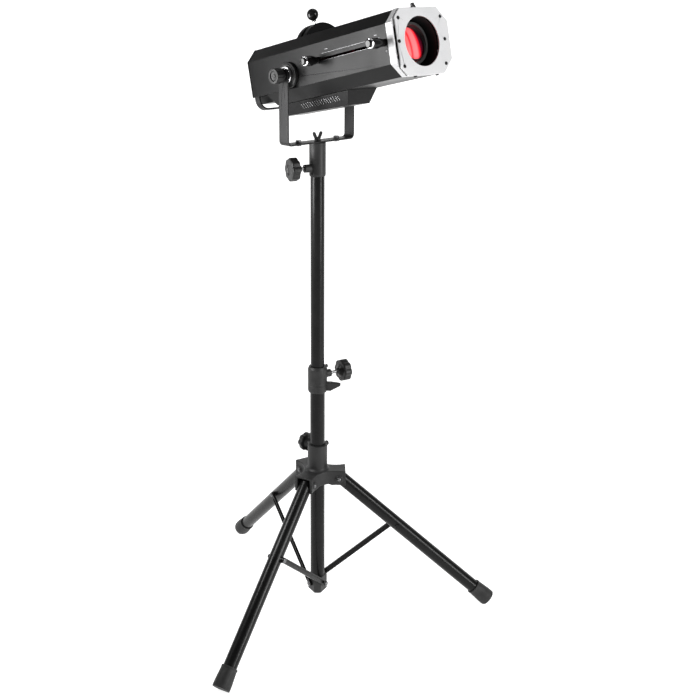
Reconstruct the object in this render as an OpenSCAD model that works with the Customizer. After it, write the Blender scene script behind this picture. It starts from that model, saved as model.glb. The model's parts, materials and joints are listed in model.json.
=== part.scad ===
// Followspot on a folding tripod stand.
// Origin: on the column's axis, at floor level. +Z up, the lamp points towards -Y.

/* [Stand] */
// Diameter of the lower column tube
column_d = 38; // [36:1:42]
// Diameter of the upper column tube
mast_d = 35; // [30:1:35]
// Diameter of the leg tubes
leg_d = 35; // [28:1:35]
// Distance of each foot's tip from the column's axis
foot_reach = 467; // [420:5:520]
// Height of the leg pivots above the floor
hub_z = 380; // [360:5:400]
// Height of the underside of the yoke
yoke_z = 1267; // [1200:5:1300]

/* [Lamp head] */
// Width of the housing
body_w = 175; // [165:1:180]
// Height of the housing
body_h = 142; // [138:1:150]
// Size of the housing's corner bevels
bevel = 28; // [24:1:32]
// Radius of the front opening
aperture_r = 53.7; // [50:0.1:54]
// Upward tilt of the lamp head at rest, in degrees
tilt_rest = 12.8; // [0:0.1:14]

/* [Hidden] */
$fn = 64;
eps = 0.01;

// ---- Stand
fit = 0.05;
column_r = column_d / 2;
column_wall = 1.45;
column_bottom = 48;
column_top = 683;
mast_r = mast_d / 2;
mast_wall = 1.5;
mast_bottom = 540;
mast_top = 1262;

leg_r = leg_d / 2;
leg_count = 3;
leg_first = -42;
leg_step = 120;
hub_r = 57;
foot_z = 13;
leg_len = norm([foot_reach - hub_r, hub_z - foot_z]);
leg_open = atan2(foot_reach - hub_r, hub_z - foot_z);
leg_head = 8;
leg_end_gap = 12;
pin_r = 4;

brace_at = 210;
brace_low_z = 65;
brace_side = 20.6;
brace_t = 6;
brace_w = 14;
brace_top_r = hub_r + brace_at * sin(leg_open);
brace_top_z = hub_z - brace_at * cos(leg_open);
brace_len = norm([brace_top_r, brace_top_z - brace_low_z]);
brace_open = atan2(brace_top_r, brace_top_z - brace_low_z);

hub_low = 362;
hub_plate_z = hub_z + 19.4;
hub_plate_t = 3.6;
hub_top = 473;
hub_sleeve_r = 26;
wing_r = 74;
wing_w = 26;
web_r = 34;
wing_slot = leg_r + 0.6;
// A circle between two wings leaves the web at web_r and each wing's corner untouched.
corner_x = wing_r * cos(60) + wing_w * sin(60);
corner_y = wing_r * sin(60) - wing_w * cos(60);
scoop_d = (pow(corner_x, 2) + pow(corner_y, 2) - pow(web_r, 2)) / (2 * (corner_x - web_r));
scoop_r = scoop_d - web_r;
hub_knob_az = 78;
hub_knob_z = 458;
hub_lug_az = -2;

collar_low = 620;
collar_high = 690;
collar_knob_az = -11;
collar_knob_z = 664;
finger_az = -47;
lock_az = 2;
lock_z = collar_high - 8;

socket_low = 1184;
socket_high = yoke_z;
socket_r = 20.5;
socket_knob_az = 162;
socket_knob_z = 1204;

// ---- Yoke
yoke_half = 108.5;
yoke_t = 4;
yoke_w = 32;
yoke_bend = 12;
tilt_z = yoke_z + 165;
tilt_pin_r = 5;
disc_r = 30;
disc_t = 10.5;
side_bolt_x = 62;

// ---- Lamp head, in its own frame: +X far side, -Y forward, +Z up, tilt axis at the origin
body_z = 11.5;
rear_y = 146.3;
front_y = -347.6;
plate_t = 3;
slot_gap = 2.6;
collar_len = 12;
sheet_t = 1.5;
body_front = front_y + plate_t + slot_gap + collar_len;
half_w = body_w / 2;
half_h = body_h / 2;
trim = 1;

rail_slot_z = 16;
rail_slot_half = 3;
rail_slot_rear = -97;
rail_slot_front = -324;
zoom_y = -105;
focus_y = -318;
stem_r = 2.5;
rod_r = 4;
rod_x = 66;
rod_z = body_z - 22;
rod_rear = -48;
flange_y = -328;
gate_w = 168;
gate_h = 118;
gate_bevel = 31;
plate_near = 76.5;
rim_near = 85;

wheel_y = -25;
wheel_z = 44;
wheel_r = 61;
cover_r = 68;
cover_half = 17;
filter_ring = wheel_z - body_z;
filter_r = 10.5;
filter_step = 40;
lever_angle = 7;
lever_slot = 50;
ball_r = 14;
ball_at = 90;

body_low = body_z - half_h;
notch_y = 94;
notch_z = -49;
box_half = 46.7;
box_half_low = 34.6;
box_rear = 108;
box_front = -146;
box_front_low = -126;
box_rear_z = -87;
box_front_z = -92.4;
box_wall = 2;

inlet_x = -53.7;
inlet_z = body_z - 38;
screw_x = 66;
screw_z = 51;
screw_mid_x = 72;

// ---------------------------------------------------------------- helpers

module tube(r, wall, h) {
    difference() {
        cylinder(r = r, h = h);
        translate([0, 0, -1]) cylinder(r = r - wall, h = h + 2);
    }
}

// A cylinder along +X.
module rod_x(r, h) {
    rotate([0, 90, 0]) cylinder(r = r, h = h);
}

// A cylinder towards -Y, the lamp's forward direction.
module rod_y(r, h) {
    rotate([90, 0, 0]) cylinder(r = r, h = h);
}

module around(i) {
    rotate([0, 0, leg_first + i * leg_step]) children();
}

// Leg frame: origin on the leg's pivot, -Z down the leg.
module leg_place(i) {
    around(i) translate([hub_r, 0, hub_z]) rotate([0, -leg_open, 0]) children();
}

module brace_place(i) {
    around(i) translate([0, 0, brace_low_z]) rotate([0, brace_open, 0]) children();
}

module head_place() {
    translate([0, 0, tilt_z]) rotate([-tilt_rest, 0, 0]) children();
}

// Star grip with its stem along +Z, bottom of the stem at the origin.
module star_knob(grip_r, grip_h, stem, neck_r, lobes) {
    lobe_r = grip_r * 0.36;
    translate([0, 0, stem]) {
        difference() {
            union() {
                cylinder(r = grip_r * 0.8, h = grip_h);
                for (k = [0 : lobes - 1])
                    rotate([0, 0, k * 360 / lobes])
                        translate([grip_r - lobe_r, 0, 0])
                            cylinder(r = lobe_r, h = grip_h);
            }
            translate([0, 0, grip_h - 2]) cylinder(r = grip_r * 0.42, h = 3);
        }
        translate([0, 0, -10]) cylinder(r1 = neck_r, r2 = grip_r * 0.6, h = 10 + eps);
    }
    cylinder(r = 4, h = stem - 9);
}

module octagon(w, h, c) {
    polygon([
        [w / 2, h / 2 - c], [w / 2 - c, h / 2], [-w / 2 + c, h / 2], [-w / 2, h / 2 - c],
        [-w / 2, -h / 2 + c], [-w / 2 + c, -h / 2], [w / 2 - c, -h / 2], [w / 2, -h / 2 + c]
    ]);
}

// Extrudes a cross-section of the housing forwards, from y0 to the smaller y1.
module along_body(y0, y1) {
    translate([0, y0, body_z]) rotate([90, 0, 0]) linear_extrude(y0 - y1) children();
}

module body_section(inset) {
    octagon(body_w - 2 * inset, body_h - 2 * inset, bevel - inset * 0.586);
}

// ---------------------------------------------------------------- stand, fixed parts

module lower_tube() {
    color("#1b1b1c")
        difference() {
            translate([0, 0, column_bottom])
                tube(column_r, column_wall, column_top - column_bottom);
            rotate([0, 0, collar_knob_az]) translate([0, 0, collar_knob_z]) rod_x(4.05, 60);
        }
}

module bottom_bracket() {
    color("#131314")
        difference() {
            union() {
                translate([0, 0, 43]) cylinder(r = 26, h = 41);
                translate([0, 0, 84 - eps]) cylinder(r1 = 26, r2 = 21, h = 5);
            }
            translate([0, 0, column_bottom]) cylinder(r = column_r, h = 60);
            translate([0, 0, 40]) cylinder(r = 12, h = 20);
            for (i = [0 : leg_count - 1])
                around(i)
                    translate([-40, brace_side - 0.5, 35]) cube([80, 20, 60]);
        }
}

module brace_pins() {
    head_y = brace_side + brace_t + 0.5;
    color("#8d8f92")
        for (i = [0 : leg_count - 1])
            around(i)
                translate([0, 0, brace_low_z]) {
                    translate([0, brace_side - 0.5, 0])
                        rotate([-90, 0, 0]) cylinder(r = pin_r, h = brace_t + 1 + eps);
                    translate([0, head_y, 0])
                        rotate([-90, 0, 0]) cylinder(r1 = 7, r2 = 5, h = 3.5);
                }
}

module mid_collar() {
    color("#242426")
        difference() {
            union() {
                translate([0, 0, collar_low]) cylinder(r1 = 23, r2 = 25, h = 5);
                translate([0, 0, collar_low + 5 - eps])
                    cylinder(r = 25, h = collar_high - collar_low - 12 + 2 * eps);
                translate([0, 0, collar_high - 7]) cylinder(r1 = 25, r2 = 22, h = 7);
                rotate([0, 0, collar_knob_az])
                    translate([15, 0, collar_knob_z]) rod_x(10, 24);
                rotate([0, 0, lock_az]) translate([20, 0, lock_z]) rod_x(5.5, 8);
            }
            translate([0, 0, collar_low - 1]) cylinder(r = column_r, h = column_top - collar_low + 1);
            translate([0, 0, collar_low]) cylinder(r = mast_r + fit, h = 100);
            rotate([0, 0, collar_knob_az])
                translate([0, 0, collar_knob_z]) rod_x(4.05, 60);
        }
}

module lock_pin() {
    color("#8d8f92")
        rotate([0, 0, lock_az])
            translate([28, 0, lock_z]) {
                rod_x(3, 4);
                translate([3, 0, 0]) rod_x(4.5, 3);
            }
}

module lock_finger() {
    color("#242426")
        rotate([0, 0, finger_az])
            difference() {
                hull() {
                    translate([20, -7, collar_low + 4]) cube([14, 14, 22]);
                    translate([56, 0, collar_low + 20]) rotate([90, 0, 0])
                        cylinder(r = 4, h = 9, center = true, $fn = 32);
                }
                translate([0, 0, collar_low]) cylinder(r = 25, h = 40);
            }
}

// ---------------------------------------------------------------- sliding hub

module hub_plan() {
    difference() {
        circle(r = wing_r + 6);
        for (i = [0 : leg_count - 1])
            rotate(leg_first + (i + 0.5) * leg_step) translate([scoop_d, 0]) circle(r = scoop_r);
        for (i = [0 : leg_count - 1])
            rotate(leg_first + i * leg_step) translate([wing_r, -50]) square([60, 100]);
    }
}

module hub() {
    color("#232325")
        difference() {
            union() {
                translate([0, 0, hub_low])
                    linear_extrude(hub_plate_z + hub_plate_t - hub_low) hub_plan();
                translate([0, 0, hub_plate_z + hub_plate_t - eps])
                    cylinder(r1 = 31, r2 = hub_sleeve_r, h = 6);
                translate([0, 0, hub_low]) cylinder(r = hub_sleeve_r, h = hub_top - hub_low);
                rotate([0, 0, hub_knob_az]) translate([15, 0, hub_knob_z]) rod_x(10, 20);
                rotate([0, 0, hub_lug_az])
                    translate([18, 0, hub_top - 7]) rod_x(6.5, 17);
                for (i = [0 : leg_count - 1], s = [-1, 1])
                    around(i)
                        translate([hub_r, s * (leg_r + 1), hub_z])
                            rotate([-90 * s, 0, 0]) cylinder(r = 9, h = 6.5);
            }
            translate([0, 0, hub_low - 1]) cylinder(r = column_r + 1.6, h = 200);
            for (i = [0 : leg_count - 1]) {
                around(i)
                    translate([29, -wing_slot, hub_low - 1])
                        cube([80, 2 * wing_slot, hub_plate_z - hub_low + 1]);
                around(i)
                    translate([hub_r, -40, hub_z]) rotate([-90, 0, 0]) cylinder(r = pin_r, h = 80);
                rotate([0, 0, leg_first + (i + 0.5) * leg_step])
                    translate([27, 0, hub_low - 40]) rod_x(46, 80);
            }
            rotate([0, 0, hub_knob_az]) translate([0, 0, hub_knob_z]) rod_x(4.05, 60);
        }
}

module hub_bushing() {
    color("#0f0f10")
        difference() {
            translate([0, 0, hub_low + 4]) cylinder(r = column_r + 1.6, h = hub_top - hub_low - 4);
            translate([0, 0, hub_low]) cylinder(r = column_r + fit, h = 200);
            rotate([0, 0, hub_knob_az]) translate([0, 0, hub_knob_z]) rod_x(4.05, 60);
        }
}

module leg_bolts() {
    bolt_half = leg_r + 7.5;
    color("#7c7e81")
        for (i = [0 : leg_count - 1])
            around(i)
                translate([hub_r, 0, hub_z]) {
                    translate([0, -bolt_half, 0])
                        rotate([-90, 0, 0]) cylinder(r = pin_r, h = 2 * bolt_half);
                    for (s = [-1, 1])
                        translate([0, s * bolt_half, 0])
                            rotate([-90 * s, 0, 0]) cylinder(r1 = 7, r2 = 5.5, h = 4);
                }
}

module hub_knob() {
    color("#17171a")
        rotate([0, 0, hub_knob_az])
            translate([column_r + 0.4, 0, hub_knob_z])
                rotate([0, 90, 0]) star_knob(25, 18, 27, 8, 6);
}

// ---------------------------------------------------------------- legs

module leg_tube(i) {
    stud_y = brace_side - 0.6;
    color("#1b1b1c")
        leg_place(i)
            difference() {
                union() {
                    translate([0, 0, -leg_len + leg_end_gap])
                        cylinder(r = leg_r, h = leg_len - leg_end_gap + leg_head);
                    translate([0, leg_r - 2, -brace_at])
                        rotate([-90, 0, 0]) cylinder(r = 8, h = stud_y - leg_r + 2);
                    translate([0, -leg_r + 1, -brace_at])
                        rotate([90, 0, 0]) cylinder(r1 = 7, r2 = 5, h = 4.5);
                }
                translate([0, 0, -leg_len]) cylinder(r = leg_r - 1.6, h = leg_len - 16);
                translate([0, -leg_r - 5, 0])
                    rotate([-90, 0, 0]) cylinder(r = pin_r + fit, h = leg_d + 10);
            }
}

module foot_cap(i) {
    cap_len = 54;
    color("#121213")
        difference() {
            leg_place(i)
                translate([0, 0, -leg_len])
                    difference() {
                        union() {
                            cylinder(r = 22.5, h = 16);
                            translate([0, 0, 16 - eps]) cylinder(r1 = 22.5, r2 = 20, h = cap_len - 16);
                            translate([0, 0, cap_len - 4]) cylinder(r = 21, h = 4);
                        }
                        translate([0, 0, leg_end_gap]) cylinder(r = leg_r, h = cap_len);
                    }
            translate([-600, -600, -50]) cube([1200, 1200, 50]);
        }
}

module brace(i) {
    end_r = brace_w / 2;
    color("#161617")
        brace_place(i)
            difference() {
                union() {
                    translate([-end_r, brace_side, 0]) cube([brace_w, brace_t, brace_len]);
                    for (z = [0, brace_len])
                        translate([0, brace_side, z])
                            rotate([-90, 0, 0]) cylinder(r = end_r, h = brace_t);
                }
                translate([0, brace_side - 1, 0])
                    rotate([-90, 0, 0]) cylinder(r = pin_r + 0.06, h = brace_t + 2);
                translate([0, brace_side - 1, brace_len])
                    rotate([-90, 0, 0]) cylinder(r = 3, h = brace_t + 2);
                translate([-3.5, brace_side + 2, 14])
                    cube([7, brace_t, brace_len - 28]);
            }
}

module brace_rivet(i) {
    color("#8d8f92")
        brace_place(i)
            translate([0, brace_side, brace_len]) {
                rotate([-90, 0, 0]) cylinder(r = 3, h = brace_t);
                translate([0, brace_t, 0]) rotate([-90, 0, 0]) cylinder(r1 = 7, r2 = 5, h = 3.5);
            }
}

// ---------------------------------------------------------------- mast

module mast_tube() {
    color("#1d1d1f")
        translate([0, 0, mast_bottom]) tube(mast_r, mast_wall, mast_top - mast_bottom);
}

module mast_plug() {
    color("#0f0f10")
        translate([0, 0, mast_bottom - 6]) {
            cylinder(r = mast_r - 0.2, h = 6);
            cylinder(r = mast_r - mast_wall, h = 26);
        }
}

module collar_knob() {
    color("#17171a")
        rotate([0, 0, collar_knob_az])
            translate([mast_r + 0.6, 0, collar_knob_z])
                rotate([0, 90, 0]) star_knob(29, 22, 50, 8, 6);
}

module top_socket() {
    color("#1c1c1e")
        difference() {
            union() {
                translate([0, 0, socket_low]) cylinder(r1 = 19.5, r2 = socket_r, h = 4);
                translate([0, 0, socket_low + 4 - eps])
                    cylinder(r = socket_r, h = socket_high - socket_low - 4 + eps);
                rotate([0, 0, socket_knob_az])
                    translate([14, 0, socket_knob_z]) rod_x(10, 22);
            }
            translate([0, 0, socket_low - 1])
                cylinder(r = mast_r + fit, h = mast_top + 1.3 - socket_low);
            rotate([0, 0, socket_knob_az]) translate([0, 0, socket_knob_z]) rod_x(4.05, 60);
            translate([0, 0, socket_high - 20]) cylinder(r = pin_r + fit, h = 40);
        }
}

module socket_knob() {
    color("#17171a")
        rotate([0, 0, socket_knob_az])
            translate([mast_r + 0.6, 0, socket_knob_z])
                rotate([0, 90, 0]) star_knob(29, 22, 36, 8, 6);
}

// ---------------------------------------------------------------- yoke

module yoke_outline(half, bend, rise) {
    translate([-half + bend, bend]) circle(r = bend);
    translate([half - bend, bend]) circle(r = bend);
    translate([-half + bend, 0]) square([2 * (half - bend), rise]);
    translate([-half, bend]) square([2 * half, rise - bend]);
}

module yoke() {
    rise = tilt_z - yoke_z;
    color("#1f1f21")
        difference() {
            union() {
                translate([0, yoke_w / 2, yoke_z])
                    rotate([90, 0, 0])
                        linear_extrude(yoke_w)
                            difference() {
                                yoke_outline(yoke_half, yoke_bend, rise);
                                translate([0, yoke_t])
                                    yoke_outline(yoke_half - yoke_t, yoke_bend - yoke_t, rise);
                            }
                for (x = [-yoke_half, yoke_half - yoke_t])
                    translate([x, 0, tilt_z]) rod_x(yoke_w / 2, yoke_t);
            }
            translate([0, 0, yoke_z - 1]) cylinder(r = pin_r + fit, h = 8);
            for (x = [-side_bolt_x, side_bolt_x])
                translate([x, 0, yoke_z - 1]) cylinder(r = 3, h = 8);
            for (x = [-yoke_half - 1, yoke_half - yoke_t - 1])
                translate([x, 0, tilt_z]) rod_x(tilt_pin_r + fit, yoke_t + 2);
        }
}

module yoke_bolts() {
    color("#6f7174")
        for (x = [-side_bolt_x, side_bolt_x])
            translate([x, 0, yoke_z]) {
                cylinder(r = 3, h = yoke_t + 3);
                translate([0, 0, yoke_t]) cylinder(r = 7.5, h = 6, $fn = 6);
                translate([0, 0, -3.5]) cylinder(r = 7, h = 3.5);
            }
}

module yoke_washers() {
    inner = yoke_half - yoke_t;
    color("#c9cbce")
        for (s = [-1, 1])
            translate([s > 0 ? inner - 6 : -inner, 0, tilt_z])
                difference() {
                    rod_x(21, 6);
                    translate([-1, 0, 0]) rod_x(tilt_pin_r + 0.5, 8);
                }
}

module wing_nut() {
    color("#6f7174")
        translate([0, 0, yoke_z + yoke_t + 0.4]) {
            cylinder(r1 = 8, r2 = 6.5, h = 8);
            for (s = [-1, 1])
                hull() {
                    translate([s * 5, 0, 5]) rotate([90, 0, 0])
                        cylinder(r = 3.5, h = 5, center = true, $fn = 24);
                    translate([s * 11, 0, 17]) rotate([90, 0, 0])
                        cylinder(r = 4, h = 4, center = true, $fn = 24);
                }
            translate([0, 0, -20]) cylinder(r = pin_r, h = 24);
        }
}

module tilt_knob(s) {
    bolt_in = half_w - 8;
    color("#141416")
        translate([0, 0, tilt_z])
            rotate([0, 90 * s, 0])
                translate([0, 0, bolt_in]) {
                    cylinder(r = tilt_pin_r, h = yoke_half + 1 - bolt_in);
                    translate([0, 0, yoke_half + 0.4 - bolt_in]) {
                        cylinder(r = 12, h = 8);
                        translate([0, 0, 8 - eps])
                            difference() {
                                cylinder(r = 18, h = 22);
                                for (k = [0 : 11])
                                    rotate([0, 0, k * 30])
                                        translate([19.3, 0, -1]) cylinder(r = 2.6, h = 24);
                                translate([0, 0, 20]) cylinder(r = 8, h = 3);
                            }
                    }
                }
}

// ---------------------------------------------------------------- lamp head: shell

module crease_split(upper) {
    crease = -half_h + bevel;
    translate([-200, upper ? crease : crease - 400]) square([400, 400]);
}

module housing_upper() {
    color("#2d2e30")
        head_place()
            difference() {
                along_body(rear_y, body_front)
                    intersection() {
                        difference() {
                            body_section(0);
                            body_section(sheet_t);
                        }
                        crease_split(true);
                    }
                // rail slot on the near side
                translate([-half_w - 1, rail_slot_front, rail_slot_z - rail_slot_half])
                    cube([4, rail_slot_rear - rail_slot_front, 2 * rail_slot_half]);
                // opening under the colour wheel's cover
                translate([-50, wheel_y - 12, body_z + half_h - 3]) cube([100, 24, 6]);
                for (s = [-1, 1])
                    translate([s * half_w - 3, 0, 0]) rod_x(tilt_pin_r + 0.5, 6);
            }
}

module housing_lower() {
    color("#202022")
        head_place()
            along_body(notch_y, body_front)
                intersection() {
                    difference() {
                        body_section(0);
                        body_section(sheet_t);
                    }
                    crease_split(false);
                }
}

module friction_discs() {
    color("#101011")
        head_place()
            for (s = [-1, 1])
                translate([s > 0 ? half_w : -half_w - disc_t, 0, 0])
                    difference() {
                        rod_x(disc_r, disc_t);
                        translate([-1, 0, 0]) rod_x(tilt_pin_r + fit, disc_t + 2);
                    }
}

// Narrow tub that closes the housing's underside behind the bulkhead.
module tub_section(inset) {
    crease = -half_h + bevel;
    floor_z = notch_z - body_z;
    polygon([
        [-78 + inset, crease + eps], [-62 + inset, floor_z + inset],
        [62 - inset, floor_z + inset], [78 - inset, crease + eps]
    ]);
}

module rear_panel() {
    bulkhead_t = 1.5;
    flange_low = -20;
    color("#1a1a1c")
        head_place()
            difference() {
                union() {
                    along_body(rear_y + 3, rear_y) {
                        intersection() {
                            body_section(-0.5);
                            crease_split(true);
                        }
                        tub_section(0);
                    }
                    along_body(rear_y, rear_y - 8)
                        intersection() {
                            difference() {
                                body_section(sheet_t);
                                body_section(sheet_t + 2);
                            }
                            translate([-200, flange_low]) square([400, 200]);
                        }
                    along_body(rear_y, notch_y - bulkhead_t)
                        difference() {
                            tub_section(0);
                            tub_section(bulkhead_t);
                        }
                    along_body(notch_y, notch_y - bulkhead_t)
                        difference() {
                            intersection() {
                                body_section(sheet_t);
                                crease_split(false);
                            }
                            tub_section(0);
                        }
                }
                for (k = [-5 : 5])
                    translate([k * 9 - 2.5, rear_y - 3, body_z - 24]) cube([5, 10, 54]);
                translate([inlet_x - 13.5, rear_y - 1, inlet_z - 10]) cube([27, 6, 20]);
                translate([38, rear_y - 1, body_z - 52]) cube([22, 6, 15]);
            }
}

module front_outline(corner) {
    octagon(body_w + 2 * trim, body_h + 2 * trim, corner);
}

module front_collar() {
    back = body_front;
    face = front_y + plate_t + slot_gap;
    color("#b9bbbd")
        head_place()
            difference() {
                union() {
                    along_body(back, face) front_outline(bevel + trim);
                    along_body(back + 5, back) body_section(sheet_t);
                    along_body(face, front_y)
                        intersection() {
                            front_outline(bevel + trim);
                            translate([-200, -100]) square([200 - rim_near, 200]);
                        }
                    for (x = [-screw_x, screw_x], z = [-screw_z, screw_z])
                        translate([x, face, body_z + z]) rod_y(4, slot_gap);
                }
                along_body(back + 6, face - 1) octagon(gate_w, gate_h, gate_bevel);
                for (x = [-screw_x, screw_x], z = [-screw_z, screw_z])
                    translate([x, face + 4, body_z + z]) rod_y(1.6, 20);
                translate([0, face + 6, body_z + 50]) cylinder(r = 2.05, h = 40);
            }
}

module front_plate() {
    color("#c4c6c8")
        head_place()
            difference() {
                along_body(front_y + plate_t, front_y)
                    intersection() {
                        front_outline(bevel + trim + 2);
                        translate([-plate_near, -100]) square([200, 200]);
                    }
                translate([0, front_y + 5, body_z]) rod_y(aperture_r, 10);
                for (x = [-screw_x, screw_x], z = [-screw_z, screw_z])
                    translate([x, front_y + 5, body_z + z]) rod_y(1.6, 10);
                for (x = [-screw_mid_x, screw_mid_x])
                    translate([x, front_y + 5, body_z + 2]) rod_y(1.6, 10);
            }
}

module front_screws() {
    color("#2c2c2e")
        head_place() {
            for (x = [-screw_x, screw_x], z = [-screw_z, screw_z])
                translate([x, front_y, body_z + z]) {
                    rod_y(4, 1.8);
                    translate([0, 8, 0]) rod_y(1.6, 8);
                }
            for (x = [-screw_mid_x, screw_mid_x])
                translate([x, front_y, body_z + 2]) {
                    rod_y(4, 1.8);
                    translate([0, plate_t, 0]) rod_y(1.6, plate_t);
                }
            for (x = [-25, 45])
                translate([x, body_front - 6, body_z - half_h - trim - 3]) cylinder(r = 4, h = 3);
        }
}

module lens_barrel() {
    color("#0e0e0f")
        head_place()
            difference() {
                union() {
                    translate([0, -305, body_z]) rod_y(57.5, 33);
                    along_body(flange_y + 1, flange_y - 1.7)
                        octagon(gate_w - 0.2, gate_h - 0.2, gate_bevel - 0.1);
                }
                translate([0, -300, body_z]) rod_y(aperture_r + 1.8, 60);
                for (s = [-1, 1])
                    translate([s * rod_x, flange_y + 5, rod_z]) rod_y(rod_r, 20);
            }
}

module thumb_screw() {
    stem_z = body_z + half_h + trim - 8;
    color("#5f6164")
        head_place()
            translate([0, front_y + plate_t + slot_gap + 6, stem_z]) {
                cylinder(r = 2, h = 14);
                translate([0, 0, 8.4]) cylinder(r = 6, h = 5);
                translate([0, 0, 12.4])
                    difference() {
                        cylinder(r = 4.6, h = 8);
                        translate([-5, -0.8, 6]) cube([10, 1.6, 3]);
                    }
            }
}

// ---------------------------------------------------------------- lamp head: optics

module guide_rods() {
    color("#d2d4d6")
        head_place()
            for (s = [-1, 1])
                translate([s * rod_x, rod_rear, rod_z]) rod_y(rod_r, rod_rear - flange_y + 1.7);
}

module gate_plate() {
    color("#8f9194")
        head_place()
            difference() {
                union() {
                    along_body(-45, -48) body_section(sheet_t);
                    translate([0, -45 + 7, body_z]) rod_y(26, 7);
                    translate([0, -18, wheel_z]) rod_y(4, 28);
                    for (s = [-1, 1])
                        translate([s * rod_x, -47, rod_z]) rod_y(9, 8);
                }
                translate([0, -30, body_z]) rod_y(20, 40);
                for (s = [-1, 1])
                    translate([s * rod_x, -48, rod_z]) rod_y(rod_r, 20);
            }
}

// A lens carrier on the two guide rods: plate from y to y - 6, cell of radius r and length len.
module carriage_plate(y, r, len, cell_y) {
    difference() {
        union() {
            translate([-77, y - 6, body_z - 38]) cube([154, 6, 76]);
            translate([0, cell_y, body_z]) rod_y(r, len);
            for (s = [-1, 1])
                translate([s * rod_x, y + 4, rod_z]) rod_y(8, 14);
        }
        translate([0, cell_y + 1, body_z]) rod_y(r - 6, len + 2);
        for (s = [-1, 1])
            translate([s * rod_x, y + 10, rod_z]) rod_y(rod_r + fit, 30);
    }
}

module zoom_carriage() {
    color("#1c1c1e")
        head_place()
            difference() {
                union() {
                    carriage_plate(zoom_y + 3, 50, 26, zoom_y + 13);
                    translate([-84, zoom_y + 6, rail_slot_z - 7]) cube([20, 12, 14]);
                    translate([-84, zoom_y - 6, rail_slot_z - 7]) cube([20, 12, 14]);
                }
                translate([-85, zoom_y, rail_slot_z]) rod_x(stem_r + fit, 19);
                translate([-100, zoom_y, rail_slot_z]) rod_x(stem_r + fit, 36);
            }
}

module focus_carriage() {
    plate_y = focus_y + 24;
    color("#1c1c1e")
        head_place()
            difference() {
                union() {
                    carriage_plate(plate_y, 46, 26, plate_y);
                    translate([-84, focus_y - 6, rail_slot_z - 7]) cube([12, 30, 14]);
                }
                translate([-100, focus_y, rail_slot_z]) rod_x(stem_r + fit, 30);
            }
}

// A lens with two spherical faces, of radius r, edge thickness t and crown height c on each side.
module lens(y, r, t, c) {
    ball = (pow(r, 2) + pow(c, 2)) / (2 * c);
    translate([0, y, body_z])
        rotate([90, 0, 0])
            intersection() {
                translate([0, 0, t / 2 + c - ball]) sphere(r = ball, $fn = 180);
                translate([0, 0, ball - t / 2 - c]) sphere(r = ball, $fn = 180);
                cylinder(r = r, h = t + 2 * c, center = true, $fn = 180);
            }
}

module zoom_lens() {
    color("#a9c4cf") head_place() lens(zoom_y, 44, 4, 7);
}

module focus_lens() {
    color("#a9c4cf") head_place() lens(focus_y + 10, 40, 4, 8);
}

module slide_knob(y) {
    head_place()
        translate([-half_w - 1.2, y, rail_slot_z])
            rotate([0, -90, 0]) {
                translate([0, 0, -17]) cylinder(r = stem_r, h = 20);
                cylinder(r = 8, h = 5);
                translate([0, 0, 5 - eps]) cylinder(r1 = 8, r2 = 11.5, h = 14);
                translate([0, 0, 19 - 2 * eps]) cylinder(r = 11.5, h = 20);
                translate([0, 0, 39 - 3 * eps]) cylinder(r1 = 10.5, r2 = 8.5, h = 9);
            }
}

module zoom_knob() {
    color("#131314") slide_knob(zoom_y);
}

module focus_knob() {
    color("#131314") slide_knob(focus_y);
}

// ---------------------------------------------------------------- lamp head: colour wheel

module wheel_cover() {
    color("#171719")
        head_place()
            difference() {
                translate([0, wheel_y + cover_half, wheel_z]) rod_y(cover_r, 2 * cover_half);
                translate([0, wheel_y + cover_half - 2, wheel_z]) rod_y(cover_r - 2, 2 * cover_half - 4);
                translate([-100, wheel_y - 40, wheel_z - 100])
                    cube([200, 80, body_z + half_h - wheel_z + 100]);
                // arc slot for the lever
                translate([0, wheel_y + 4, wheel_z])
                    rotate([90, 0, 0])
                        rotate([0, 0, 90 - lever_slot])
                            rotate_extrude(angle = 2 * lever_slot + 5)
                                translate([cover_r - 6, 0]) square([12, 8]);
            }
}

module colour_wheel() {
    color("#3b3c3f")
        head_place()
            translate([0, wheel_y + 1.25, wheel_z])
                difference() {
                    union() {
                        rod_y(wheel_r, 2.5);
                        translate([0, 3, 0]) rod_y(9, 8.5);
                        rotate([0, -lever_angle, 0]) {
                            translate([0, -1.25, wheel_r - 9]) cylinder(r = 2.4, h = ball_at - wheel_r + 5);
                            translate([0, -1.25, ball_at]) sphere(r = ball_r);
                            translate([0, -1.25, wheel_r - 9]) cylinder(r = 3.4, h = 7);
                        }
                    }
                    translate([0, 10, 0]) rod_y(4 + fit, 20);
                    for (k = [-1 : 2])
                        rotate([0, k * filter_step, 0])
                            translate([0, 2, -filter_ring]) rod_y(filter_r, 6);
                }
}

// ---------------------------------------------------------------- lamp head: light engine

module led_engine() {
    color("#7d8084")
        head_place() {
            translate([-40, 40, body_z - 40]) cube([80, 6, 80]);
            for (k = [0 : 9])
                translate([-38 + k * 8, 46 - eps, body_z - 38]) cube([3, 50, 76]);
            translate([-16, 37, body_z - 16]) cube([32, 3 + eps, 32]);
            translate([0, 37, body_z])
                difference() {
                    rod_y(19, 32);
                    translate([0, -3, 0]) rod_y(16, 40);
                }
            for (s = [-1, 1])
                translate([s > 0 ? 40 - eps : -half_w + sheet_t, 40, body_z - 12])
                    cube([half_w - sheet_t - 40 + eps, 3, 24]);
        }
}

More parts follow.
